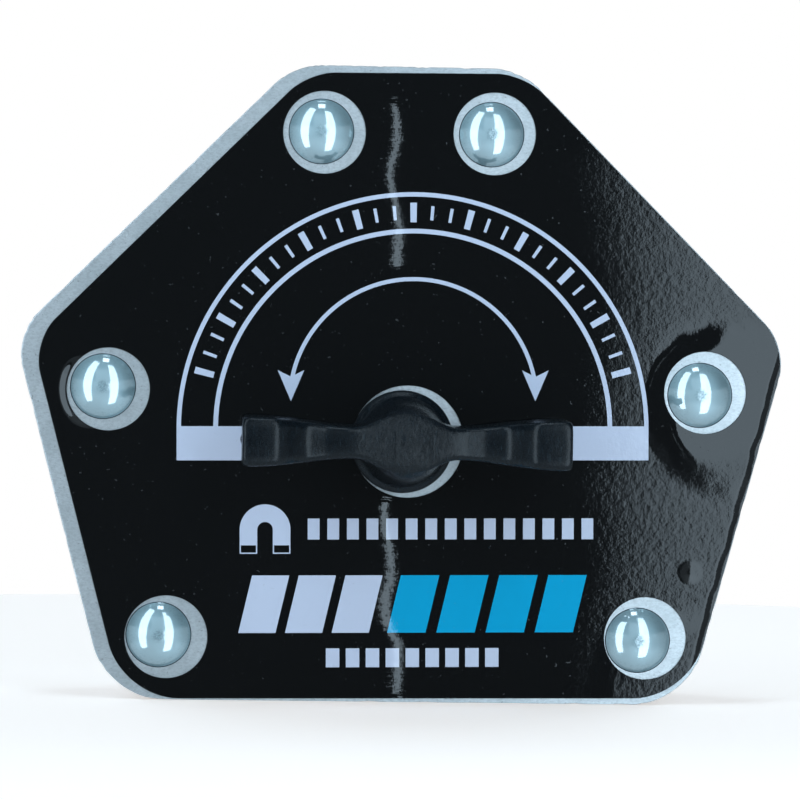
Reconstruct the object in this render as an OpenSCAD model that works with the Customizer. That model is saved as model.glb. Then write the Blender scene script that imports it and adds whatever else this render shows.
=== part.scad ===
/* [Plates] */
// Height of the steel plates from the bottom edge to the top edge
plate_h = 94; // [90:1:98]
// Length of the top edge, measured to its sharp corners
top_edge = 33.5; // [31:0.5:36]
// Length of the bottom edge, measured to its sharp corners
bottom_edge = 86; // [82:0.5:90]
// Angle of the two lower edges above the horizontal
lower_edge_angle = 75; // [73:0.5:77]
// Thickness of each plate
plate_t = 3; // [2.5:0.1:4]
// Clear gap between the two plates
plate_gap = 19; // [18.5:0.5:22]
// Radius of the two side corners
side_corner_r = 8.3; // [7:0.1:9]
// Radius of the two top corners
top_corner_r = 9.6; // [8:0.1:11]
// Radius of the two bottom corners
bottom_corner_r = 10.7; // [9:0.1:12]

/* [Rivets] */
// Diameter of the rivet shanks
rivet_d = 6; // [5:0.5:6]
// Diameter of the domed head on the front
head_d = 9.7; // [9:0.1:10]
// Height of the domed head on the front
head_h = 2.4; // [2:0.1:3.2]
// Height of the formed head on the back
formed_head_h = 2.2; // [1.8:0.1:2.6]
// Outer diameter of the spacer tubes
spacer_d = 12; // [11:0.5:13]

/* [Label] */
// Thickness of the label film
label_t = 0.2; // [0.1:0.05:0.3]
// How far the label's holes lie to the right of the rivets
label_shift = 0.85; // [0:0.05:0.9]
// How far the label's holes are turned anticlockwise round the turning axis
label_turn = 0.5; // [0:0.1:0.5]

/* [Switch] */
// Height of the turning axis above the bottom edge
axis_h = 38.6; // [37:0.2:40]
// Radius of the two magnet discs
magnet_r = 16; // [15:0.1:16]
// How far the handle turns between off and on
turn = 180; // [170:1:180]

/* [Handle] */
// Length of the handle from tip to tip
handle_l = 47.8; // [44:0.2:50]
// Height of the finger tabs above the front plate
handle_h = 17.5; // [17:0.1:19]
// Width of the handle's tips
tip_w = 7.8; // [7:0.1:8.5]
// Diameter of the round flange under the hub
flange_d = 15.2; // [15:0.1:16]

/* [Hidden] */
$fn = 96;
cut = 1;
fit = 0.05;

// Levels along the turning axis, from the middle of the gap towards the front.
inner_z = plate_gap / 2;
outer_z = inner_z + plate_t;
shim_t = 2;
insulator_t = 0.5;
fixed_magnet_low = insulator_t - inner_z;
fixed_magnet_high = -1.5;
separator_t = 0.5;
rotor_magnet_low = -0.9;
drive_flange_low = 6;
drive_flange_high = 8.2;
washer_t = 0.5;
bush_flange_low = inner_z - 0.75;
handle_low = outer_z + label_t + 0.3;
handle_top = outer_z + handle_h;
// The part is centred between the handle's front and the back of the formed heads.
middle_y = (handle_top - outer_z - formed_head_h) / 2;

rivet_holes = [
    [-12.6, 84.2], [12.6, 84.2],
    [-44.2, 46.1], [44.2, 46.1],
    [-35.5, 9.6], [35.5, 9.6]
];

// Magnet core: an aluminium frame round two soft iron shoes.
core_w = 61;
core_h = 44;
core_wall = 3;
core_corner_r = 6;
core_clear = 0.2;
shoe_gap = 2;
shoe_bore_r = magnet_r + 0.3;

shaft_r = 4;
journal_r = 3;
stem_r = 3.2;
stem_high = 23.5;
rear_bush_r = 5;
front_bush_r = 6;
bush_flange_r = 8;
drive_flange_r = 14;
stop_pin_r = 1.5;
stop_track_r = 11.5;
stop_slot_r = stop_pin_r + 0.1;
stop_spare = 1;
stop_pin_low = 6.8;
drive_pin_r = 1.5;
drive_pin_track_r = 7;
roll_pin_r = 1;
roll_pin_z = 18.5;

// How far each edge of the label lies inside the plate's, at its two ends:
// top, right upper, right lower, bottom, left lower, left upper.
label_margins = [[1.15, 0.75], [0.15, 0.15], [0.15, 0.15], [1.05, 0.1], [2.3, 2.3], [2.45, 2.3]];
label_hole_r = 6.1;
label_centre_r = 8.3;

// Stands a shape drawn in the plate's plane upright, with its front towards -Y.
module upright() {
    translate([0, middle_y, 0]) rotate([90, 0, 0]) children();
}

// The same, with the turning axis as the drawing's centre.
module on_axis() {
    upright() translate([0, axis_h, 0]) children();
}

// A disc or tube between two levels.
module tube(outer_r, inner_r, low, high) {
    translate([0, 0, low]) difference() {
        cylinder(r = outer_r, h = high - low);
        translate([0, 0, -cut]) cylinder(r = inner_r, h = high - low + 2 * cut);
    }
}

module disc(r, low, high) {
    translate([0, 0, low]) cylinder(r = r, h = high - low);
}

// Corners of a symmetrical six-sided outline, clockwise from the top left.
function six_corners(h, top, bottom) =
    let (y = (h + (top - bottom) / 2) / (1 + 1 / tan(lower_edge_angle)))
    let (x = bottom / 2 + y / tan(lower_edge_angle))
    [[-top / 2, h], [top / 2, h], [x, y], [bottom / 2, 0], [-bottom / 2, 0], [-x, y]];

function towards(a, b) = (b - a) / norm(b - a);
function before(points, i) = points[(i + len(points) - 1) % len(points)];
function after(points, i) = points[(i + 1) % len(points)];
function half_angle(points, i) =
    acos(towards(points[i], before(points, i)) * towards(points[i], after(points, i))) / 2;

// Where the line through a and b meets the line through c and d.
function crossing(a, b, c, d) = a + (b - a) * cross(c - a, d - c) / cross(b - a, d - c);

// Corners of a clockwise outline whose edges lie inside another's by a margin at each end.
function inset_corners(points, margins) =
    let (n = len(points))
    let (edges = [
        for (i = [0:n - 1])
            let (on = towards(points[i], after(points, i)), inward = [on.y, -on.x])
            [points[i] + margins[i][0] * inward, after(points, i) + margins[i][1] * inward]
    ])
    [for (i = [0:n - 1]) crossing(before(edges, i)[0], before(edges, i)[1], edges[i][0], edges[i][1])];

// An outline whose corners are true arcs: each sharp corner is cut back to a circle.
module rounded(points, radii) {
    difference() {
        polygon(points);
        for (i = [0:len(points) - 1]) {
            back = towards(points[i], before(points, i));
            on = towards(points[i], after(points, i));
            reach = radii[i] / tan(half_angle(points, i));
            middle = points[i] + towards([0, 0], back + on) * radii[i] / sin(half_angle(points, i));
            difference() {
                polygon([
                    points[i] + reach * back, points[i] - cut * (back + on),
                    points[i] + reach * on, middle
                ]);
                translate(middle) circle(r = radii[i]);
            }
        }
    }
}

plate_corners = six_corners(plate_h, top_edge, bottom_edge);
corner_radii = [
    top_corner_r, top_corner_r, side_corner_r,
    bottom_corner_r, bottom_corner_r, side_corner_r
];

module plate_outline() {
    rounded(plate_corners, corner_radii);
}

module rounded_box(w, h, r) {
    rounded([[-w / 2, h / 2], [w / 2, h / 2], [w / 2, -h / 2], [-w / 2, -h / 2]], [r, r, r, r]);
}

module at_rivets() {
    for (p = rivet_holes) translate(p) children();
}

// A low dome: the cap of a sphere.
module dome(r, h) {
    ball_r = (r * r + h * h) / (2 * h);
    intersection() {
        translate([0, 0, h - ball_r]) sphere(r = ball_r);
        cylinder(r = r + cut, h = h + cut);
    }
}

// Six-sided steel plate on the handle's side, with the shaft and stop pin holes.
module front_plate() {
    color("lightsteelblue") upright() difference() {
        translate([0, 0, inner_z]) linear_extrude(plate_t) difference() {
            plate_outline();
            at_rivets() circle(d = rivet_d + 2 * fit);
            translate([0, axis_h]) circle(r = front_bush_r + fit);
        }
        translate([0, axis_h + stop_track_r, inner_z - cut])
            cylinder(r = stop_pin_r + fit, h = 2 * plate_t / 3 + cut);
    }
}

// Six-sided steel plate on the far side, riveted through.
module back_plate() {
    color("lightsteelblue") upright()
        translate([0, 0, -outer_z]) linear_extrude(plate_t) difference() {
            plate_outline();
            at_rivets() circle(d = rivet_d + 2 * fit);
        }
}

// Thin printed film, laid a little off the middle of the plate.
module front_label() {
    color("black") upright() translate([0, 0, outer_z]) linear_extrude(label_t) difference() {
        rounded(inset_corners(plate_corners, label_margins), corner_radii);
        translate([label_shift, axis_h]) rotate(label_turn) {
            circle(r = label_centre_r);
            translate([0, -axis_h]) at_rivets() circle(r = label_hole_r);
        }
    }
}

// Six domed rivets that clamp the plates on the spacer tubes.
module rivets() {
    color("gainsboro") upright() at_rivets() {
        disc(rivet_d / 2, -outer_z, outer_z);
        translate([0, 0, outer_z]) dome(head_d / 2, head_h);
        translate([0, 0, -outer_z]) rotate([180, 0, 0]) dome(head_d / 2, formed_head_h);
    }
}

// Six aluminium tubes that set the gap between the plates.
module spacer_tubes() {
    color("silver") upright() at_rivets()
        tube(spacer_d / 2, rivet_d / 2 + 2 * fit, -inner_z, inner_z);
}

// Aluminium frame round the magnets, closed by the two plates.
module core_housing() {
    color("darkgray") on_axis() translate([0, 0, -inner_z]) linear_extrude(plate_gap) difference() {
        rounded_box(core_w, core_h, core_corner_r);
        rounded_box(core_w - 2 * core_wall, core_h - 2 * core_wall, core_corner_r - core_wall);
    }
}

// Half of the inside of the housing: side is -1 for the left, 1 for the right.
module core_half(side) {
    w = core_w / 2 - core_wall - core_clear - shoe_gap / 2;
    h = core_h - 2 * core_wall - 2 * core_clear;
    intersection() {
        rounded_box(core_w - 2 * core_wall - 2 * core_clear, h, core_corner_r - core_wall);
        translate([side * (shoe_gap + w) / 2, 0]) square([w, h + cut], center = true);
    }
}

// Soft iron shoe that feeds the front plate.
module pole_shoe_left() {
    color("slategray") on_axis() translate([0, 0, shim_t - inner_z])
        linear_extrude(plate_gap - shim_t) difference() {
            core_half(-1);
            circle(r = shoe_bore_r);
        }
}

// Soft iron shoe that feeds the back plate.
module pole_shoe_right() {
    color("slategray") on_axis() translate([0, 0, -inner_z])
        linear_extrude(plate_gap - shim_t) difference() {
            core_half(1);
            circle(r = shoe_bore_r);
        }
}

// Brass shim that keeps the right shoe off the front plate.
module front_shim() {
    color("goldenrod") on_axis() translate([0, 0, inner_z - shim_t])
        linear_extrude(shim_t) difference() {
            core_half(1);
            circle(r = shoe_bore_r);
        }
}

// Brass shim that keeps the left shoe off the back plate.
module back_shim() {
    color("goldenrod") on_axis() translate([0, 0, -inner_z])
        linear_extrude(shim_t) difference() {
            core_half(-1);
            circle(r = shoe_bore_r);
        }
}

// Plastic ring between the fixed magnet and the back plate.
module base_insulator() {
    color("ivory") on_axis() tube(magnet_r, rear_bush_r + fit, -inner_z, fixed_magnet_low);
}

// Magnet disc that stays still, magnetised across its diameter.
module fixed_magnet() {
    color("dimgray") on_axis()
        tube(magnet_r, rear_bush_r + fit, fixed_magnet_low, fixed_magnet_high);
}

// Plastic disc that the turning magnet slides over.
module separator_disc() {
    color("ivory") on_axis()
        tube(magnet_r, rear_bush_r + fit, fixed_magnet_high, fixed_magnet_high + separator_t);
}

// Bronze bush for the rear end of the shaft.
module rear_bush() {
    color("peru") on_axis()
        tube(rear_bush_r, journal_r + fit, -inner_z, fixed_magnet_high);
}

// Bronze flanged bush in the front plate.
module shaft_bush() {
    color("peru") on_axis() {
        difference() {
            union() {
                disc(bush_flange_r, bush_flange_low, inner_z);
                disc(front_bush_r, bush_flange_low, outer_z);
            }
            disc(shaft_r + fit, bush_flange_low - cut, outer_z + cut);
        }
    }
}

// Spring washer, nearly flat under load, that keeps the handle where it is put.
module wave_washer() {
    color("silver") on_axis()
        tube(bush_flange_r + cut, shaft_r + 2 * fit, bush_flange_low - washer_t, bush_flange_low);
}

// Pin in the front plate that ends the handle's travel.
module stop_pin() {
    color("silver") on_axis() translate([0, stop_track_r, 0])
        disc(stop_pin_r, stop_pin_low, inner_z + 2 * plate_t / 3);
}

// Curved slot in the drive flange that the stop pin runs in.
module stop_slot(low, high) {
    pin_angle = asin(stop_pin_r / stop_track_r) + stop_spare;
    rotate(90 - turn - pin_angle)
        rotate_extrude(angle = turn + 2 * pin_angle)
            translate([stop_track_r - stop_slot_r, low]) square([2 * stop_slot_r, high - low]);
}

// Stepped shaft with the flange that drives the turning magnet.
module drive_shaft() {
    color("silver") on_axis() difference() {
        rotate_extrude() polygon([
            [0, -inner_z + 2 * fit], [journal_r, -inner_z + 2 * fit],
            [journal_r, drive_flange_low], [drive_flange_r, drive_flange_low],
            [drive_flange_r, drive_flange_high], [shaft_r, drive_flange_high],
            [shaft_r, handle_low + 2 * fit], [stem_r, handle_low + 2 * fit],
            [stem_r, stem_high], [0, stem_high]
        ]);
        stop_slot(drive_flange_low - cut, drive_flange_high + cut);
        for (side = [-1, 1]) translate([side * drive_pin_track_r, 0, 0])
            disc(drive_pin_r + fit, drive_flange_low - cut, drive_flange_high + cut);
        translate([0, 0, roll_pin_z]) rotate([90, 0, 0])
            cylinder(r = roll_pin_r + fit, h = 4 * stem_r, center = true);
    }
}

// Magnet disc that turns with the shaft.
module rotor_magnet() {
    color("dimgray") on_axis() difference() {
        tube(magnet_r, journal_r + fit, rotor_magnet_low, drive_flange_low);
        for (side = [-1, 1]) translate([side * drive_pin_track_r, 0, 0])
            disc(drive_pin_r + fit, drive_flange_low / 2, drive_flange_low + cut);
    }
}

// Two dowels that lock the flange to the turning magnet.
module drive_pins() {
    color("silver") on_axis() for (side = [-1, 1]) translate([side * drive_pin_track_r, 0, 0])
        disc(drive_pin_r, drive_flange_low / 2, drive_flange_high);
}

// One wing: a drafted web that runs out from the hub to a raised finger tab.
module wing() {
    tip_r = tip_w / 2;
    tip_x = handle_l / 2 - tip_r;
    waist_r = 2.6;
    waist_x = 5;
    valley_x = 14.5;
    valley_r = 3.2;
    web_low = outer_z + 3;
    tab_low = outer_z + 6;
    valley_high = handle_top - 3;
    tab_high = handle_top;
    hull() {
        translate([waist_x, 0, 0]) disc(waist_r, web_low, valley_high + 1, $fn = 32);
        translate([valley_x, 0, 0]) disc(valley_r, (web_low + tab_low) / 2, valley_high, $fn = 32);
    }
    hull() {
        translate([valley_x, 0, 0]) disc(valley_r, (web_low + tab_low) / 2, valley_high, $fn = 32);
        translate([tip_x - 1, 0, 0]) disc(tip_r, tab_low, tab_high - 1, $fn = 32);
    }
    hull() {
        translate([tip_x, 0, 0]) disc(tip_r, tab_low, tab_high, $fn = 32);
        translate([tip_x - 3, 0, 0]) disc(tip_r - 0.3, tab_low, tab_high, $fn = 32);
    }
}

// Moulded handle: a round flange, a domed hub and two wings.
module handle() {
    hub_r = 5.2;
    hub_high = handle_top - 4;
    color([0.12, 0.14, 0.16]) on_axis() difference() {
        union() {
            disc(flange_d / 2, handle_low, outer_z + 3);
            translate([0, 0, outer_z + 3])
                cylinder(r1 = flange_d / 2 - 1, r2 = hub_r, h = hub_high - outer_z - 3);
            translate([0, 0, hub_high]) dome(hub_r, 3);
            wing();
            rotate(180) wing();
        }
        disc(shaft_r + fit, handle_low - cut, handle_low + 3 * fit);
        disc(stem_r + fit, handle_low - cut, stem_high + 1);
        translate([0, 0, roll_pin_z]) rotate([90, 0, 0])
            cylinder(r = roll_pin_r + fit, h = flange_d + 2 * cut, center = true);
    }
}

// Slotted spring pin through the hub and the shaft.
module roll_pin() {
    color("silver") on_axis() translate([0, 0, roll_pin_z]) rotate([90, 0, 0])
        cylinder(r = roll_pin_r, h = 11, center = true);
}

front_plate();
back_plate();
front_label();
rivets();
spacer_tubes();
core_housing();
pole_shoe_left();
pole_shoe_right();
front_shim();
back_shim();
base_insulator();
fixed_magnet();
separator_disc();
rear_bush();
shaft_bush();
wave_washer();
stop_pin();
drive_shaft();
rotor_magnet();
drive_pins();
handle();
roll_pin();
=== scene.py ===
import math
import random

import bmesh
import bpy
from mathutils import Matrix, Vector
from mathutils.geometry import intersect_line_line


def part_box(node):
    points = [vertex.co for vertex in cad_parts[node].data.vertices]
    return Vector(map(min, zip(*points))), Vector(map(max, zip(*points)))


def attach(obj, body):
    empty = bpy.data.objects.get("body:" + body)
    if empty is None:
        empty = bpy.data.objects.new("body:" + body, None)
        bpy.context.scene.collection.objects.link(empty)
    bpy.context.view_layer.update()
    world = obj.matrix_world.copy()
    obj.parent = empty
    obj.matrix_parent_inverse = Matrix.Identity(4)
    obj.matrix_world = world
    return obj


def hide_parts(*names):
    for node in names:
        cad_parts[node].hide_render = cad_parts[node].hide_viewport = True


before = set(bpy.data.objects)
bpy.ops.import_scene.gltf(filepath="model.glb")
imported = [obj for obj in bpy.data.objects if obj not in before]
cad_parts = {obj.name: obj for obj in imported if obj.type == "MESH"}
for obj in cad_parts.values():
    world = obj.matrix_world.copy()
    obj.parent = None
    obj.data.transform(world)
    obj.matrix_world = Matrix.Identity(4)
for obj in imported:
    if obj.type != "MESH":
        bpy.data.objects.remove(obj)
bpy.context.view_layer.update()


# ---------------------------------------------------------------------------
# Front plate: six-sided steel plate, 3 mm thick, blanked on a press.
# Its edges are the working faces at 45 and 75 degrees. Its bright zinc has
# turned matt, and the press has rounded its front rim and nicked it.

mm = 0.001
front_low, front_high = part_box("front_plate")
back_low, back_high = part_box("back_plate")
plate_thick = front_high.y - front_low.y
plate_height = front_high.z - front_low.z
shaft_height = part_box("rotor_magnet")[0].lerp(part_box("rotor_magnet")[1], 0.5).z
lower_edge_angle = math.radians(75)
top_edge = 33.5 * mm
bottom_edge = 86 * mm
corner_radii = [9.6 * mm, 9.6 * mm, 8.3 * mm, 10.7 * mm, 10.7 * mm, 8.3 * mm]
# Rivets on each side: how far out and how high.
rivet_pairs = [(12.6, 84.2), (44.2, 46.1), (35.5, 9.6)]
rivet_places = [Vector((side * x, z)) * mm for x, z in rivet_pairs for side in (-1, 1)]


def six_corners(height, top, bottom):
    """Sharp corners of the outline, clockwise from the top left, standing on y = 0."""
    lean = 1 / math.tan(lower_edge_angle)
    side_y = (height + (top - bottom) / 2) / (1 + lean)
    side_x = bottom / 2 + side_y * lean
    right = [(top / 2, height), (side_x, side_y), (bottom / 2, 0)]
    left = [(-x, y) for x, y in reversed(right)]
    points = [left[2]] + right + left[:2]
    return [Vector((x, y, 0)) for x, y in points]


def blank(corners, radii, holes, thick, rim, nicks=0.0):
    """A flat blank with round corners and holes, its front face at z = 0 with a soft rim."""
    shortest_edge = 5 * mm
    nicks_per_edge = 40
    sharp_fold = 1.2
    bm = bmesh.new()
    verts = [bm.verts.new(point) for point in corners]
    bm.faces.new(verts)
    count = len(corners)
    for i, vert in enumerate(verts):
        back = (corners[i - 1] - corners[i]).normalized()
        on = (corners[(i + 1) % count] - corners[i]).normalized()
        reach = radii[i] / math.tan(back.angle(on) / 2)
        bmesh.ops.bevel(
            bm, geom=[vert], offset=reach, offset_type="OFFSET", segments=16,
            profile=0.5, affect="VERTICES", material=-1,
        )
    if nicks:
        straight = [edge for edge in bm.edges if edge.calc_length() > shortest_edge]
        bmesh.ops.subdivide_edges(bm, edges=straight, cuts=nicks_per_edge)
        middle = Vector((0, plate_height / 2, 0))
        for vert in bm.verts:
            depth = nicks * chance.random() ** 6
            vert.co += (middle - vert.co).normalized() * depth
    bmesh.ops.delete(bm, geom=bm.faces[:], context="FACES_ONLY")
    for place, radius in holes:
        bmesh.ops.create_circle(
            bm, cap_ends=False, segments=72, radius=radius,
            matrix=Matrix.Translation((place.x, place.y, 0)),
        )
    bmesh.ops.triangle_fill(bm, use_beauty=True, use_dissolve=False, edges=bm.edges[:])
    grown = bmesh.ops.extrude_face_region(bm, geom=bm.faces[:])["geom"]
    moved = [item for item in grown if isinstance(item, bmesh.types.BMVert)]
    bmesh.ops.translate(bm, verts=moved, vec=(0, 0, -thick))
    bmesh.ops.recalc_face_normals(bm, faces=bm.faces[:])
    rims = [
        edge for edge in bm.edges
        if len(edge.link_faces) == 2 and edge.calc_face_angle() > sharp_fold
        and all(vert.co.z > -thick / 2 for vert in edge.verts)
    ]
    bmesh.ops.bevel(
        bm, geom=rims, offset=rim, offset_type="OFFSET", segments=3,
        profile=0.5, affect="EDGES", material=-1,
    )
    for face in bm.faces:
        face.smooth = abs(face.normal.z) < 0.999
    return bm


def stand(bm, face_y, facing=-1):
    """Stands a drawing upright with its z = 0 plane at face_y and its +z towards facing."""
    turn = Matrix.Rotation(math.radians(90), 4, "X")
    if facing > 0:
        turn = Matrix.Rotation(math.pi, 4, "Z") @ turn
    bmesh.ops.transform(bm, matrix=Matrix.Translation((0, face_y, 0)) @ turn, verts=bm.verts[:])


def make_piece(name, bm, body, nodes, sharp=0):
    """Turns a finished bmesh into a piece that rides on a body and stands for its CAD nodes.

    Smooth faces that meet at more than the sharp angle, in degrees, get a crisp edge.
    """
    mesh = bpy.data.meshes.new(name)
    bm.to_mesh(mesh)
    bm.free()
    if sharp:
        mesh.set_sharp_from_angle(angle=math.radians(sharp))
    piece = bpy.data.objects.new(name, mesh)
    bpy.context.scene.collection.objects.link(piece)
    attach(piece, body)
    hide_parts(*nodes)
    return piece


class Value:
    """A shader value that ordinary arithmetic works on."""

    def __init__(self, finish, socket):
        self.finish = finish
        self.socket = socket

    def maths(self, operation, *others):
        """Adds one Math node, which takes this value first."""
        inputs = dict(enumerate((self, *others)))
        return self.finish.add("ShaderNodeMath", {"operation": operation}, inputs)

    def __add__(self, other):
        return self.maths("ADD", other)

    def __sub__(self, other):
        return self.maths("SUBTRACT", other)

    def __mul__(self, other):
        return self.maths("MULTIPLY", other)

    def __pow__(self, other):
        return self.maths("POWER", other)

    def __gt__(self, other):
        return self.maths("GREATER_THAN", other)

    def __lt__(self, other):
        return self.maths("LESS_THAN", other)

    def __abs__(self):
        return self.maths("ABSOLUTE")

    def __neg__(self):
        return self * -1

    def __rsub__(self, other):
        return -self + other

    __radd__ = __add__
    __rmul__ = __mul__


class Finish:
    """A material or a world, and the one way that its nodes are made."""

    def __init__(self, name, library=bpy.data.materials):
        self.material = library.new(name)
        self.material.use_nodes = True
        self.tree = self.material.node_tree
        self.tree.nodes.clear()

    def add(self, kind, settings=None, inputs=None, output=0):
        """Makes a node, sets its settings, then feeds its sockets with values or links."""
        node = self.tree.nodes.new(kind)
        for key, value in (settings or {}).items():
            setattr(node, key, value)
        for key, value in (inputs or {}).items():
            if isinstance(value, Value):
                self.tree.links.new(value.socket, node.inputs[key])
            else:
                node.inputs[key].default_value = value
        return Value(self, node.outputs[output]) if len(node.outputs) else None

    def place(self):
        """Object coordinates in millimetres, as a vector."""
        coords = self.add("ShaderNodeTexCoord", output="Object")
        return self.add(
            "ShaderNodeVectorMath", {"operation": "SCALE"}, {0: coords, "Scale": 1 / mm}
        )

    def split(self, vector):
        """The three numbers of a vector."""
        first = self.add("ShaderNodeSeparateXYZ", inputs={0: vector})
        return [Value(self, socket) for socket in first.socket.node.outputs]

    def stretch(self, vector, scale):
        """A vector scaled by itself along each axis, which draws a pattern out."""
        return self.add(
            "ShaderNodeMapping", {"vector_type": "POINT"}, {"Vector": vector, "Scale": scale},
        )

    def noise(self, vector, scale, detail=3.0, roughness=0.5, distortion=0.0):
        return self.add(
            "ShaderNodeTexNoise", {"noise_dimensions": "3D"},
            {"Vector": vector, "Scale": scale, "Detail": detail,
             "Roughness": roughness, "Distortion": distortion},
        )

    def ramp(self, value, low, high, start=0.0, end=1.0):
        """Carries low..high over to start..end, smoothly and no further."""
        return self.add(
            "ShaderNodeMapRange", {"interpolation_type": "SMOOTHSTEP", "clamp": True},
            {"Value": value, "From Min": low, "From Max": high, "To Min": start, "To Max": end},
        )

    def mix(self, amount, first, second):
        """Mixes two colours."""
        return self.add(
            "ShaderNodeMix", {"data_type": "RGBA", "blend_type": "MIX"},
            {0: amount, 6: first, 7: second}, output=2,
        )

    def bump(self, height, distance, strength=1.0, normal=None):
        inputs = {"Height": height, "Distance": distance, "Strength": strength}
        if normal is not None:
            inputs["Normal"] = normal
        return self.add("ShaderNodeBump", inputs=inputs)

    def surface(self, **sockets):
        """A Principled shader: sockets by name, with underscores for spaces."""
        inputs = {key.replace("_", " "): value for key, value in sockets.items()}
        return self.add("ShaderNodeBsdfPrincipled", inputs=inputs)

    def close(self, shader, output="ShaderNodeOutputMaterial"):
        self.add(output, inputs={"Surface": shader})
        return self.material


def put_on(material, *pieces):
    """Gives pieces their one material."""
    for piece in pieces:
        piece.data.materials.clear()
        piece.data.materials.append(material)


def rgb(red, green, blue):
    """A colour from its 0 to 255 display values."""
    return (*[(c / 255 / 12.92) if c < 11 else ((c / 255 + 0.055) / 1.055) ** 2.4
              for c in (red, green, blue)], 1.0)


def zinc_finish():
    """Matt bluish zinc with a fine grain and dark specks, and darker sheared walls, their darkness
    partly painted shade.
    """
    finish = Finish("zinc_plating")
    place = finish.place()
    fine = finish.noise(place, 5.5, detail=4, roughness=0.7)
    cloud = finish.noise(place, 0.16, detail=2)
    grain = finish.noise(finish.stretch(place, (0.8, 1, 1.6)), 2.6, detail=4, roughness=0.7)
    specks = finish.ramp(finish.noise(place, 2.3, detail=2), 0.66, 0.74)
    bright = finish.mix(finish.ramp(cloud, 0.35, 0.65), rgb(210, 215, 218), rgb(198, 204, 207))
    grey = finish.mix(finish.ramp(grain, 0.35, 0.7) * 0.5, bright, rgb(162, 167, 170))
    colour = finish.mix(specks * 0.5, grey, rgb(108, 108, 110))
    # Sheared walls: darker, partly their own rough tears along the thickness and partly painted
    # shade for the dark line along the edge, up to just short of the rims.
    rim_width = 0.12
    y = finish.split(place)[1]
    from_front = abs(y - (front_low.y + front_high.y) / 2 / mm)
    from_back = abs(y - (back_low.y + back_high.y) / 2 / mm)
    wall = from_front.maths("MINIMUM", from_back) < plate_thick / 2 / mm - rim_width
    tears = finish.noise(finish.stretch(place, (6, 0.5, 6)), 1.0, detail=3, roughness=0.7)
    # Painted shade: the wall colour is darkened to stand for the shadow along the sheared edge,
    # mixed with real tears.
    sheared_tears_and_shade = finish.mix(tears, rgb(90, 91, 93), rgb(160, 161, 163))
    colour = finish.mix(wall * 0.8, colour, sheared_tears_and_shade)
    rough = finish.ramp(fine, 0.3, 0.7, 0.34, 0.52)
    normal = finish.bump(fine + grain * 0.6, 0.03 * mm, 0.5)
    normal = finish.bump(tears * wall, 0.12 * mm, 0.6, normal)
    return finish.close(finish.surface(
        Base_Color=colour, Metallic=0.82, Roughness=rough, Normal=normal,
    ))


chance = random.Random(5)
shaft_hole = 6.05 * mm
shank_hole = 3.05 * mm
rim = 0.16 * mm
deepest_nick = 0.12 * mm
plate_holes = [(place, shank_hole) for place in rivet_places]
front_blank = blank(
    six_corners(plate_height, top_edge, bottom_edge), corner_radii,
    plate_holes + [(Vector((0, shaft_height)), shaft_hole)],
    plate_thick, rim, nicks=deepest_nick,
)
stand(front_blank, front_low.y)
front_plate = make_piece("front_plate_zinc", front_blank, "holder", ["front_plate"])
zinc = zinc_finish()
put_on(zinc, front_plate)


# ---------------------------------------------------------------------------
# Back plate: the same blank, turned over, so its soft rim faces backwards.
# It carries no label and has no hole for the shaft.

back_blank = blank(
    six_corners(plate_height, top_edge, bottom_edge), corner_radii,
    plate_holes, plate_thick, rim, nicks=deepest_nick,
)
stand(back_blank, back_high.y, facing=1)
back_plate = make_piece("back_plate_zinc", back_blank, "holder", ["back_plate"])
put_on(zinc, back_plate)


# ---------------------------------------------------------------------------
# Label: a glossy black film stuck to the front plate, its holes punched a
# little to the right and turned a little. It is printed with a travel scale,
# an arrow, a horseshoe and rows of plain bars, and it has lifted in places.

label_low, label_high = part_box("front_label")
label_thick = label_high.y - label_low.y
label_shift = 0.85 * mm
label_turn = math.radians(0.5)
label_hole = 6.1 * mm
label_centre_hole = 8.3 * mm
film_rim = 0.05 * mm
# How far each edge lies inside the plate's, at its two ends, clockwise from the top edge.
label_margins = [
    (1.15, 0.75), (0.15, 0.15), (0.15, 0.15), (1.05, 0.1), (2.3, 2.3), (2.45, 2.3),
]


def inset_corners(corners, margins):
    """Corners of an outline whose edges lie inside another's by a margin at each end."""
    lines = []
    for i, (start, end) in enumerate(margins):
        first, second = corners[i], corners[(i + 1) % len(corners)]
        on = (second - first).normalized()
        inward = Vector((on.y, -on.x, 0)) * mm
        lines.append((first + inward * start, second + inward * end))
    return [intersect_line_line(*lines[i - 1], *lines[i])[0] for i in range(len(lines))]


lay = (
    Matrix.Translation((label_shift, shaft_height, 0))
    @ Matrix.Rotation(label_turn, 4, "Z")
    @ Matrix.Translation((0, -shaft_height, 0))
)
label_holes = [(lay @ place.to_3d(), label_hole) for place in rivet_places]
label_holes.append((Vector((label_shift, shaft_height)), label_centre_hole))
label_blank = blank(
    inset_corners(six_corners(plate_height, top_edge, bottom_edge), label_margins),
    corner_radii, label_holes, label_thick, film_rim,
)
stand(label_blank, label_low.y)
label = make_piece("printed_label", label_blank, "holder", ["front_label"])


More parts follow.
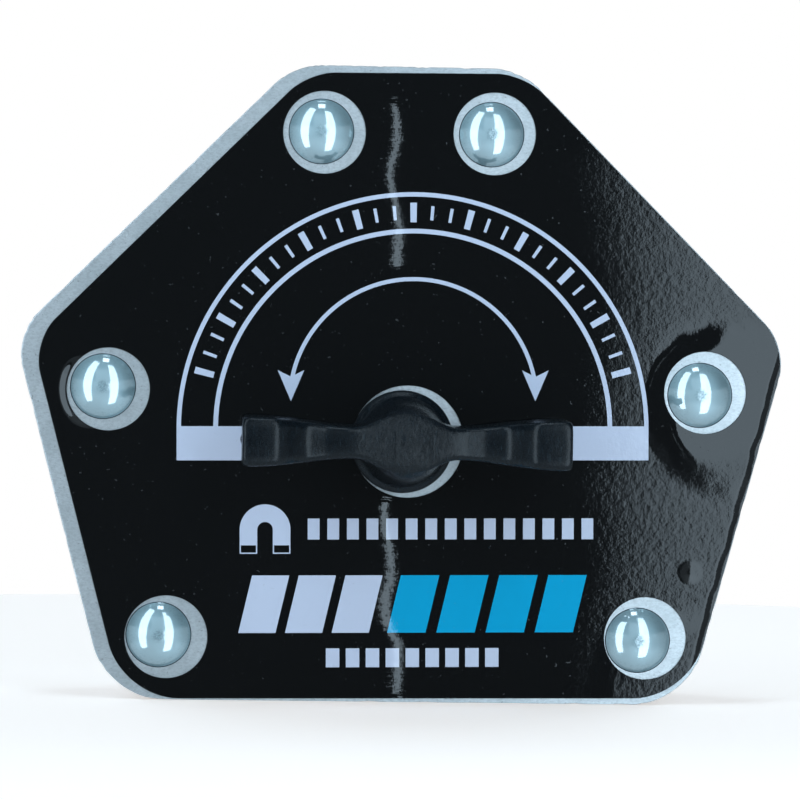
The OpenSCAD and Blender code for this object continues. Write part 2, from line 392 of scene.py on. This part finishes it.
def label_finish():
    """The film's print, and the relief that its gloss shows."""
    finish = Finish("printed_film")
    place = finish.place()
    x, _, z = finish.split(place)

    # The print's own axes: u across, v up, from the middle of the travel scale.
    scale_x, scale_z = 1.66, 40.54
    turn = math.radians(0.83)
    dx = x - scale_x
    dz = z - scale_z
    u = dx * math.cos(turn) + dz * math.sin(turn)
    v = dz * math.cos(turn) - dx * math.sin(turn)

    def between(value, low, high):
        return (value > low) * (value < high)

    def distance(cu, cv):
        return ((u - cu) ** 2 + (v - cv) ** 2) ** 0.5

    def either(*masks):
        total = masks[0]
        for mask in masks[1:]:
            total = total.maths("MAXIMUM", mask)
        return total

    def row(count, pitch, start, width, low, high, across=None):
        """A row of equal bars."""
        along = (u if across is None else across) - start
        inside = between(along, 0, count * pitch - (pitch - width))
        step = along.maths("MODULO", pitch)
        return inside * (step < width) * between(v, low, high)

    # Travel scale: two half rings, bars at their ends, and graduations between them.
    outer_ring = (34.3, 34.95)
    inner_ring = (28.85, 29.55)
    end_bar = (-4.7, 0.34)
    end_bar_from = 21
    first_mark, last_mark = 13, 167
    scale_r = distance(0, 0)
    rings = either(between(scale_r, *outer_ring), between(scale_r, *inner_ring)) * (v > 0.2)
    ends = between(abs(u), end_bar_from, outer_ring[1]) * between(v, *end_bar)
    angle = v.maths("ARCTAN2", u) * (180 / math.pi)
    minor = (abs((angle + 2.5).maths("MODULO", 5) - 2.5) < 0.42) * between(scale_r, 30.9, 33.0)
    major = (abs((angle + 7.5).maths("MODULO", 15) - 7.5) < 0.85) * between(scale_r, 30.5, 33.4)
    marks = either(minor, major) * between(angle, first_mark, last_mark)

    # Double-headed arrow round the handle: an arc that ends in two barbed heads.
    arc_middle_v = 3.8
    arc = (18.0, 18.6)
    arc_end_v = 7.6
    point_u, point_v = 18.1, 4.05
    head_spread = 0.43
    head_length = 3.6
    arrow = between(distance(0, arc_middle_v), *arc) * (v > arc_end_v)
    head_u = abs(u) - point_u
    head_v = v - point_v
    head = (abs(head_u) < head_v * head_spread) * (head_v < head_length + abs(head_u) * 0.5)
    arrow = either(arrow, head * (head_v > 0))

    # Horseshoe magnet whose pole tips are only outlined.
    shoe_u, shoe_v = -21.9, -14.95
    shoe_width = (1.15, 3.75)
    shoe_foot, tip_top = -18.5, -17.25
    outline = 0.18
    bow = between(distance(shoe_u, shoe_v), *shoe_width) * (v > shoe_v)
    legs = between(abs(u - shoe_u), *shoe_width) * between(v, shoe_foot, shoe_v)
    hollow = between(abs(u - shoe_u), shoe_width[0] + outline, shoe_width[1] - outline)
    hollow = hollow * between(v, shoe_foot + outline, tip_top)
    shoe = either(bow, legs) * (1 - hollow)

    # Rows of plain bars: small upright ones, tall leaning ones in two colours, and dashes.
    lean = u - v * 0.24
    tall = (-30.2, -21.7)
    small_bars = row(15, 2.9, -15.6, 1.75, -16.4, -13.3)
    pale_bars = row(3, 6.9, -18.6, 5.5, *tall, lean)
    blue_bars = row(4, 7.3, 3.4, 5.7, *tall, lean)
    dashes = row(9, 2.95, -12.9, 2.0, -35.3, -32.5)

    pale = either(rings, ends, marks, arrow, shoe, small_bars, pale_bars, dashes)
    black = rgb(12, 13, 14)
    colour = finish.mix(pale, black, rgb(188, 198, 218))
    colour = finish.mix(blue_bars, colour, rgb(12, 155, 201))

    # Film surface: long waves all over and fine ones across them, dust, and orange peel
    # that grows towards the right edge and is calm round the two rivets there.
    def far_from(cx, cz):
        return ((x - cx) ** 2 + (z - cz) ** 2) ** 0.5

    peel_from, peel_full = 16, 40
    calm_belt = 5.0
    holes = [lay @ spot.to_3d() / mm for spot in rivet_places]
    corner_hole = min(holes, key=lambda hole: hole.x)
    right_holes = [hole for hole in holes if hole.x > 20]
    waves = finish.noise(finish.stretch(place, (0.35, 1, 0.8)), 0.09, detail=1, roughness=0.4)
    ripples = finish.noise(finish.stretch(place, (0.3, 1, 2)), 0.8, detail=2)
    coarse = finish.ramp(x + (waves - 0.5) * 12, peel_from, peel_full, 0.02, 1.5)
    for hole, calm in zip(right_holes, (13.0, 9.0)):
        coarse = coarse * finish.ramp(far_from(hole.x, hole.y), calm - calm_belt, calm, 0.15, 1.0)
    peel = finish.noise(place, 1.1, detail=4, roughness=0.58)
    dust = finish.ramp(finish.noise(place, 1.9, detail=1), 0.74, 0.79)
    normal = finish.bump(waves, 0.5 * mm, 0.25)
    normal = finish.bump(ripples, 0.02 * mm, 0.1, normal)
    normal = finish.bump(peel * coarse, 0.05 * mm, 0.5, normal)

    # It has lifted: in mounds on the right and below those two rivets, in a lip on the
    # left of the rivet in the left corner, and over a bubble near the right edge.
    mound_height = 0.32 * mm
    lip_height = 0.39 * mm
    bubble_height = 0.3 * mm
    bubble_x, bubble_z = 43.2, 19.8
    uneven = finish.noise(place, 0.22, detail=1) - 0.5
    for hole, drop in zip(right_holes, (2.5, 8.0)):
        from_top = far_from(hole.x + 4.5, hole.y - drop) + uneven * 1.2
        mound = finish.ramp(from_top, 9.0, 14.0, 1.0, 0.0)
        normal = finish.bump(mound, mound_height, 1.0, normal)
    lip = finish.ramp(far_from(corner_hole.x, corner_hole.y), label_hole / mm, 7.4, 1.0, 0.0)
    lip = lip * finish.ramp(abs(z - corner_hole.y + 0.5), 2.5, 6.0, 1.0, 0.0) * (x < corner_hole.x)
    normal = finish.bump(lip, lip_height, 1.0, normal)
    bubble = finish.ramp(far_from(bubble_x, bubble_z), 0.0, 2.0, 1.0, 0.0)
    normal = finish.bump(bubble, bubble_height, 1.0, normal)

    # Along the lower edge on the right it rolls down towards the plate.
    roll_width = 1.5
    roll_height = 0.32 * mm
    _, _, upper_end, lower_end, _, _ = six_corners(plate_height, top_edge, bottom_edge)
    on = (lower_end - upper_end).normalized()
    inside = (x - upper_end.x / mm) * on.y - (z - upper_end.y / mm) * on.x
    roll = finish.ramp(inside + uneven * 1.2, 0.1, roll_width)
    normal = finish.bump(roll, roll_height, 1.0, normal)

    rough = 0.01 + coarse * 0.055 + dust * 0.25
    colour = finish.mix(dust * 0.12, colour, rgb(120, 124, 126))
    return finish.close(finish.surface(
        Base_Color=colour, Roughness=rough, Normal=normal, IOR=1.5,
    ))


put_on(label_finish(), label)


# ---------------------------------------------------------------------------
# Rivets: six solid steel rivets, driven from the front and formed at the
# back, that clamp the two plates on the spacer tubes. Their domes are bright,
# and each front one has a small scar in its middle from the press tool.

rivets_low, rivets_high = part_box("rivets")
head_radius = 4.85 * mm
head_height = front_low.y - rivets_low.y
formed_height = rivets_high.y - back_high.y
shank_radius = 3.0 * mm
stack = back_high.y - front_low.y
scar_radius = 0.45 * mm
scar_depth = 0.05 * mm
uv_step = 20


def dome_profile(radius, height, level, sign, steps, scar):
    """Points of a dome's outline from its middle to its rim."""
    ball = (radius ** 2 + height ** 2) / (2 * height)
    reach = math.asin(radius / ball)
    points = []
    for i in range(steps + 1):
        angle = reach * i / steps
        r = ball * math.sin(angle)
        rise = height - ball * (1 - math.cos(angle))
        rise -= scar * math.exp(-(r / scar_radius) ** 2)
        points.append((r, level + sign * rise))
    return points


def turned(profile, steps=64):
    """A closed turned solid from (radius, height) points that start and end on the axis."""
    bm = bmesh.new()
    verts = [bm.verts.new((r, 0, z)) for r, z in profile]
    edges = [bm.edges.new(pair) for pair in zip(verts, verts[1:])]
    bmesh.ops.spin(
        bm, geom=verts + edges, cent=(0, 0, 0), axis=(0, 0, 1), dvec=(0, 0, 0),
        angle=math.tau, steps=steps, use_merge=True, use_duplicate=False,
    )
    bmesh.ops.remove_doubles(bm, verts=bm.verts[:], dist=0.0005 * mm)
    bmesh.ops.recalc_face_normals(bm, faces=bm.faces[:])
    for face in bm.faces:
        face.smooth = True
    return bm


def take_in(whole, part_bm):
    """Adds a finished part's faces to a bmesh."""
    part = bpy.data.meshes.new("part")
    part_bm.to_mesh(part)
    part_bm.free()
    whole.from_mesh(part)
    bpy.data.meshes.remove(part)


# Each head stands on a low straight rim.
dome_radius = head_radius - 0.1 * mm
head_rim = 0.12 * mm
formed_rim = 0.15 * mm
head = dome_profile(dome_radius, head_height - head_rim, head_rim, 1, 22, scar_depth)
head += [(head_radius, 0.05 * mm), (head_radius, 0.0), (shank_radius, 0.0)]
formed = dome_profile(dome_radius, formed_height - formed_rim, -stack - formed_rim, -1, 18, 0)
formed += [(head_radius, -stack - 0.06 * mm), (head_radius, -stack), (shank_radius, -stack)]
rivet_bm = bmesh.new()
rivet_bm.loops.layers.uv.new("head")
for index, spot in enumerate(rivet_places):
    one = turned(head + list(reversed(formed)))
    bmesh.ops.rotate(one, verts=one.verts[:], matrix=Matrix.Rotation(index * 1.1, 3, "Z"))
    layer = one.loops.layers.uv.new("head")
    for face in one.faces:
        for loop in face.loops:
            loop[layer].uv = (loop.vert.co.x / mm + index * uv_step, loop.vert.co.y / mm)
    bmesh.ops.translate(one, verts=one.verts[:], vec=(spot.x, spot.y, 0))
    take_in(rivet_bm, one)
stand(rivet_bm, front_low.y)
rivets = make_piece("domed_rivets", rivet_bm, "holder", ["rivets"], 50)


def rivet_finish():
    """A bright mirror under a thin haze, with a scarred middle and a painted contact shade at the
    rim.
    """
    finish = Finish("bright_rivet")
    uv_place = finish.add("ShaderNodeUVMap", {"uv_map": "head"})
    place = finish.place()
    a, b, _ = finish.split(uv_place)
    a = (a + uv_step / 2).maths("MODULO", uv_step) - uv_step / 2
    radius = (a ** 2 + b ** 2) ** 0.5
    scratch = finish.noise(finish.stretch(place, (1, 1, 2)), 2.6, detail=4, roughness=0.7)
    pits = finish.noise(place, 4.5, detail=3, roughness=0.6)
    scar = finish.ramp(radius, 0.35, 1.3, 1.0, 0.0) * finish.ramp(pits, 0.42, 0.6)
    worn = finish.ramp(radius, 2.6, 4.6) * finish.ramp(scratch, 0.5, 0.72)
    # Painted contact shade: a dark ring round the dome's rim, where it meets the plate.
    rim_contact_shade = finish.ramp(radius, 4.66, 4.78)
    colour = finish.mix(worn * 0.35 + scar * 0.5, rgb(204, 209, 210), rgb(120, 130, 136))
    colour = finish.mix(rim_contact_shade, colour, rgb(70, 84, 92))
    normal = finish.bump(scratch, 0.02 * mm, 0.12)
    normal = finish.bump(pits * finish.ramp(radius, 0.5, 1.2, 1.0, 0.0), 0.06 * mm, 0.7, normal)
    mirror = finish.surface(
        Base_Color=colour, Metallic=1.0, Roughness=0.07 + scar * 0.2 + worn * 0.08, Normal=normal,
    )
    tint = finish.mix(worn * 0.35 + scar * 0.4, rgb(196, 226, 234), rgb(110, 132, 140))
    tint = finish.mix(rim_contact_shade, tint, rgb(60, 74, 82))
    haze = finish.surface(Base_Color=tint, Metallic=1.0, Roughness=0.6, Normal=normal)
    both = finish.add("ShaderNodeMixShader", inputs={0: 0.56, 1: mirror, 2: haze})
    return finish.close(both)


put_on(rivet_finish(), rivets)


# ---------------------------------------------------------------------------
# Spacer tubes: six aluminium tubes cut to length on a lathe, threaded on the
# rivets between the plates. Their ends are chamfered and their outsides
# carry fine turning marks.

tubes_low, tubes_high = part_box("spacer_tubes")
tube_length = tubes_high.y - tubes_low.y
tube_outer = 6.0 * mm
tube_inner = 3.1 * mm
chamfer = 0.35 * mm


def tube_bm():
    """One tube, its ends chamfered inside and out, standing round its own middle."""
    half = tube_length / 2
    ring = [
        (tube_inner, half - chamfer), (tube_inner + chamfer, half), (tube_outer - chamfer, half),
        (tube_outer, half - chamfer), (tube_outer, chamfer - half), (tube_outer - chamfer, -half),
        (tube_inner + chamfer, -half), (tube_inner, chamfer - half),
    ]
    return turned(ring + ring[:1], 56)


spacers_bm = bmesh.new()
for spot in rivet_places:
    one = tube_bm()
    bmesh.ops.translate(one, verts=one.verts[:], vec=(spot.x, spot.y, -tube_length / 2))
    take_in(spacers_bm, one)
stand(spacers_bm, tubes_low.y)
spacers = make_piece("turned_spacers", spacers_bm, "holder", ["spacer_tubes"], 30)


def metal_finish(name, colour, shade, rough, stretch, scale, depth):
    """A worked metal: grain drawn along stretch, cloudy colour, and uneven polish."""
    finish = Finish(name)
    place = finish.place()
    grain = finish.noise(finish.stretch(place, stretch), scale, detail=4, roughness=0.65)
    cloud = finish.noise(place, 0.3, detail=3)
    tone = finish.mix(finish.ramp(grain, 0.3, 0.7) * 0.6, colour, shade)
    tone = finish.mix(finish.ramp(cloud, 0.45, 0.7) * 0.4, tone, shade)
    polish = finish.ramp(grain + cloud * 0.5, 0.5, 0.95, rough, rough + 0.18)
    normal = finish.bump(grain, depth * mm, 0.5)
    return finish.close(finish.surface(
        Base_Color=tone, Metallic=1.0, Roughness=polish, Normal=normal,
    ))


put_on(
    metal_finish("turned_aluminium", rgb(214, 217, 221), rgb(170, 174, 180), 0.26,
                 (0.4, 8, 0.4), 1.4, 0.03),
    spacers,
)


# ---------------------------------------------------------------------------
# Core housing: a length of rounded aluminium box section, sawn off and
# anodised satin, that closes the magnet core between the plates.

put_on(
    metal_finish("satin_housing", rgb(176, 180, 186), rgb(138, 143, 150), 0.38,
                 (1, 0.12, 1), 2.2, 0.02),
    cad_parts["core_housing"],
)


# ---------------------------------------------------------------------------
# Core: soft iron shoes, each fed to one plate and kept off the other by a
# brass shim, with two magnet discs between them. The back disc stays still
# and the front disc turns, and plastic rings keep them from rubbing.

iron = metal_finish(
    "ground_iron", rgb(128, 130, 134), rgb(92, 94, 98), 0.34, (6, 1, 0.5), 0.9, 0.03,
)
put_on(iron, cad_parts["pole_shoe_left"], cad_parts["pole_shoe_right"])
brass = metal_finish(
    "rolled_brass", rgb(208, 172, 96), rgb(170, 134, 66), 0.25, (4, 1, 0.4), 1.0, 0.01,
)
put_on(brass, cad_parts["front_shim"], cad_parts["back_shim"])
nickel = metal_finish(
    "nickel_plating", rgb(196, 192, 184), rgb(160, 156, 150), 0.16, (1, 1, 1), 1.6, 0.01,
)
put_on(nickel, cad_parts["fixed_magnet"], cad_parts["rotor_magnet"])


def plastic_finish(name, colour, shade, rough):
    """A moulded plastic with a fine grain and slightly uneven colour."""
    finish = Finish(name)
    place = finish.place()
    grain = finish.noise(place, 7, detail=3, roughness=0.6)
    cloud = finish.noise(place, 0.4, detail=2)
    tone = finish.mix(finish.ramp(cloud, 0.35, 0.65), colour, shade)
    normal = finish.bump(grain, 0.02 * mm, 0.5)
    polish = finish.ramp(grain, 0.3, 0.7, rough, rough + 0.12)
    return finish.close(finish.surface(Base_Color=tone, Roughness=polish, Normal=normal))


put_on(
    plastic_finish("white_plastic", rgb(234, 231, 222), rgb(220, 216, 205), 0.45),
    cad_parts["base_insulator"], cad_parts["separator_disc"],
)


# ---------------------------------------------------------------------------
# Shaft and bearings: a stepped steel shaft whose flange drives the front
# magnet through two dowels, in two bronze bushes, with a spring washer for
# its drag, a stop pin for its half turn and a roll pin through the handle.

bronze = metal_finish(
    "sintered_bronze", rgb(176, 130, 84), rgb(130, 92, 58), 0.42, (1, 1, 1), 5, 0.03,
)
put_on(bronze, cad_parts["rear_bush"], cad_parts["shaft_bush"])
steel = metal_finish(
    "turned_steel", rgb(182, 186, 192), rgb(140, 144, 150), 0.22, (0.5, 7, 0.5), 1.3, 0.02,
)
steel_names = ("drive_shaft", "drive_pins", "stop_pin", "roll_pin")
put_on(steel, *[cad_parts[name] for name in steel_names])
spring = metal_finish(
    "spring_steel", rgb(132, 130, 128), rgb(98, 96, 100), 0.3, (1, 1, 1), 2, 0.01,
)
put_on(spring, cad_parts["wave_washer"])


# ---------------------------------------------------------------------------
# Handle: one black plastic moulding with a round flange, a domed hub and two
# wings that dip and then step up to flat finger tabs. It is pinned to the
# shaft, and the mould's gate has left a nub on the end of one wing.

handle_low, handle_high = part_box("handle")
handle_tip = (handle_high.x - handle_low.x) / 2
nub_radius = 0.55 * mm
# Stations along a wing: distance out, half width, underside and top above the front plate.
wing_stations = [
    (0.0, 4.7, 3.0, 15.4), (1.5, 4.6, 3.0, 15.35), (3.0, 4.2, 3.0, 15.15),
    (4.2, 3.7, 3.1, 14.9), (5.2, 3.2, 3.3, 14.65), (6.2, 2.8, 3.5, 14.4),
    (7.2, 2.6, 3.8, 14.15), (8.6, 2.58, 4.2, 13.85), (11.5, 2.8, 5.0, 13.6),
    (14.2, 3.18, 5.7, 13.8), (15.0, 3.28, 5.9, 14.1), (16.2, 3.42, 6.2, 15.1),
    (17.4, 3.55, 6.5, 16.3), (18.2, 3.62, 6.8, 17.0), (18.9, 3.68, 7.0, 17.3),
    (20.9, 3.8, 7.5, 17.4), (22.9, 3.86, 8.0, 17.45), (23.6, 3.75, 8.5, 17.4),
    (23.85, 3.5, 9.0, 17.2),
]
draft = 0.28 * mm
crown = 0.4 * mm
crown_width = 0.72


def wing_bm(side):
    """One wing, drawn out from the hub station by station, with a crowned top."""
    bm = bmesh.new()
    made = []
    for distance, half, low, high in wing_stations:
        x = side * distance * mm
        wide = half * mm
        top = high * mm
        shoulder = crown_width * (wide - draft)
        ring = [
            (x, -wide, low * mm), (x, wide, low * mm),
            (x, wide - draft, top - 2 * crown), (x, shoulder, top - 0.5 * crown), (x, 0, top),
            (x, -shoulder, top - 0.5 * crown), (x, draft - wide, top - 2 * crown),
        ]
        if not made:
            face = bm.faces.new([bm.verts.new(point) for point in ring])
            made = list(face.verts)
            continue
        grown = bmesh.ops.extrude_face_region(bm, geom=[face])["geom"]
        face = next(item for item in grown if isinstance(item, bmesh.types.BMFace))
        for vert, point in zip(face.verts, ring):
            vert.co = point
    bmesh.ops.recalc_face_normals(bm, faces=bm.faces[:])
    return bm


# Outline of the flange and the hub: radius and height above the front plate.
hub_profile = [
    (0, 0.5), (7.3, 0.5), (7.6, 0.75), (7.6, 2.3), (7.35, 2.75), (6.75, 3.0), (6.35, 4.2),
    (6.0, 6.5), (5.75, 9.0), (5.5, 11.5), (5.1, 13.3), (4.3, 14.6), (3.0, 15.4), (1.5, 15.8),
    (0, 15.9),
]
handle_bm = turned([(r * mm, z * mm) for r, z in hub_profile], 72)
nub = bmesh.new()
bmesh.ops.create_uvsphere(
    nub, u_segments=16, v_segments=10, radius=nub_radius,
    matrix=Matrix.Translation((0.15 * mm - handle_tip, 0.3 * mm, 13.5 * mm)),
)
for part_bm in (wing_bm(1), wing_bm(-1), nub):
    take_in(handle_bm, part_bm)
bmesh.ops.translate(handle_bm, verts=handle_bm.verts[:], vec=(0, shaft_height, 0))
stand(handle_bm, front_low.y)
handle = make_piece("wing_handle", handle_bm, "switch", ["handle"])
# The hub, the wings and the nub are blended into one skin.
blend = handle.modifiers.new("blend", "REMESH")
blend.mode = "VOXEL"
blend.voxel_size = 0.3 * mm
soften = handle.modifiers.new("soften", "SMOOTH")
soften.factor = 0.5
soften.iterations = 9
bpy.context.view_layer.update()
moulded = bpy.data.meshes.new_from_object(
    handle.evaluated_get(bpy.context.evaluated_depsgraph_get())
)
handle.modifiers.clear()
handle.data = moulded
handle.data.shade_smooth()


def handle_finish():
    """Black plastic with a fine grain, wrinkled where it flowed round the hub."""
    finish = Finish("moulded_black")
    place = finish.place()
    x, _, z = finish.split(place)
    reach = (x ** 2 + (z - shaft_height / mm) ** 2) ** 0.5
    grain = finish.noise(place, 5.5, detail=4, roughness=0.7)
    drawn = finish.stretch(place, (1.9, 0.8, 0.7))
    flow = finish.noise(drawn, 0.8, detail=4, roughness=0.6, distortion=1.8)
    streaks = finish.noise(finish.stretch(place, (2.5, 1, 0.5)), 1.6, detail=3)
    scuffs = finish.ramp(streaks, 0.58, 0.72)
    near_hub = finish.ramp(reach, 4.0, 8.5, 1.0, 0.0)
    colour = finish.mix(finish.ramp(flow, 0.4, 0.7), rgb(9, 15, 20), rgb(14, 22, 28))
    colour = finish.mix(scuffs * 0.2, colour, rgb(48, 62, 70))
    normal = finish.bump(grain, 0.02 * mm, 0.4)
    normal = finish.bump(flow * (0.08 + near_hub), 0.3 * mm, 0.6, normal)
    rough = finish.ramp(grain, 0.3, 0.7, 0.21, 0.3)
    return finish.close(finish.surface(
        Base_Color=colour, Roughness=rough, Normal=normal, IOR=1.34,
    ))


put_on(handle_finish(), handle)


# ---------------------------------------------------------------------------
# Studio: a pale round table and surround, a tall soft light on each side of
# the camera with two slits beside it, one light overhead and two behind. The
# camera is level with the part, a little to its left, almost square to it.

middle = Vector((0, front_low.y, plate_height / 2))
table_radius = 260 * mm
table_glow = 0.42

table_bm = bmesh.new()
bmesh.ops.create_circle(table_bm, cap_ends=True, segments=96, radius=table_radius)
table_mesh = bpy.data.meshes.new("table")
table_bm.to_mesh(table_mesh)
table_bm.free()
table = bpy.data.objects.new("table", table_mesh)
bpy.context.scene.collection.objects.link(table)
table_finish = Finish("pale_table")
table_grain = table_finish.noise(table_finish.place(), 0.35, detail=3)
table_colour = table_finish.mix(table_grain, rgb(247, 243, 240), rgb(243, 239, 236))
put_on(table_finish.close(table_finish.surface(
    Base_Color=table_colour, Roughness=0.75,
    Emission_Color=(1.0, 0.85, 0.75, 1.0), Emission_Strength=table_glow,
)), table)
table.visible_glossy = False


cool = (0.77, 0.97, 1.12)


def light_panel(name, across, out, up, wide, tall, radiance, square_on=False):
    """A flat lit panel, its centre given in mm across, out from the label and up.

    It faces the middle of the part, or the label's plane if it is set square on.
    """
    data = bpy.data.lights.new(name, "AREA")
    data.shape = "RECTANGLE"
    data.size = wide * mm
    data.size_y = tall * mm
    data.energy = radiance * math.pi * data.size * data.size_y
    data.color = cool
    lamp = bpy.data.objects.new(name, data)
    bpy.context.scene.collection.objects.link(lamp)
    lamp.location = (across * mm, front_low.y - out * mm, up * mm)
    look = Vector((0, 1, 0)) if square_on else middle - lamp.location
    lamp.rotation_euler = look.to_track_quat("-Z", "Y").to_euler()
    lamp.visible_camera = False
    return lamp


# Each light: place across, out and up, then width, height and radiance.
light_panel("right_softbox", 173, 326, 150, 194, 1100, 2.8, square_on=True)
light_panel("left_softbox", -310, 270, 150, 180, 1100, 2.8)
light_panel("slit_high", 61.8, 1200, 126, 3.5, 84, 3.8, square_on=True)
light_panel("slit_low", 61.8, 1200, -52, 3.5, 81, 3.8, square_on=True)
light_panel("overhead", 0, 95, 538, 120, 120, 4.0)
light_panel("back_left", -1000, -1200, 600, 1000, 1200, 3.2)
light_panel("back_right", 1000, -1200, 600, 1000, 1200, 3.2)


def surround():
    """White to the eye. For light, a pale room, dark above and in front of the label."""
    dim, wall_light, ground_light = 0.07, 0.33, 0.25
    finish = Finish("surround", bpy.data.worlds)
    east, north, up = finish.split(finish.add("ShaderNodeTexCoord", output="Generated"))
    low = finish.ramp(up, 0.22, 0.28, 1.0, 0.0)
    column = finish.ramp(abs(east), 0.3, 0.38, 1.0, 0.0) * finish.ramp(up, 0.72, 0.8, 1.0, 0.0)
    label_sees = finish.ramp(0.06 * east - north, 0.955, 0.978)
    ground = finish.ramp(up, -0.5, -0.2, 1.0, 0.0)
    walls = low.maths("MAXIMUM", column)
    strength = dim + (wall_light * walls + ground_light * ground) * (1 - label_sees)
    tint = (0.77, 0.95, 1.08, 1)
    lit = finish.add("ShaderNodeBackground", inputs={"Color": tint, "Strength": strength})
    seen = finish.add("ShaderNodeBackground", inputs={"Color": (1, 1, 1, 1), "Strength": 1.0})
    eye = finish.add("ShaderNodeLightPath", output="Is Camera Ray")
    both = finish.add("ShaderNodeMixShader", inputs={0: eye, 1: lit, 2: seen})
    return finish.close(both, "ShaderNodeOutputWorld")


bpy.context.scene.world = surround()
bpy.context.scene.view_settings.view_transform = "Standard"
bpy.context.scene.view_settings.look = "None"

camera_distance = 600 * mm
camera_data = bpy.data.cameras.new("camera")
camera_data.lens = 182.55
camera_data.sensor_width = 36
camera_data.shift_x = -0.0031
camera_data.shift_y = -0.0022
camera_data.clip_start = 0.05
camera = bpy.data.objects.new("camera", camera_data)
bpy.context.scene.collection.objects.link(camera)
yaw, pitch, roll = (math.radians(angle) for angle in (3.148, 0.576, 0.910))
aim = Matrix.Rotation(-yaw, 4, "Z") @ Matrix.Rotation(-pitch, 4, "X")
aim @= Matrix.Rotation(-roll, 4, "Y")
look_at = Vector((0, front_low.y, 45 * mm))
camera.matrix_world = (
    Matrix.Translation(look_at) @ aim
    @ Matrix.Translation((0, -camera_distance, 0)) @ Matrix.Rotation(math.radians(90), 4, "X")
)
bpy.context.scene.camera = camera
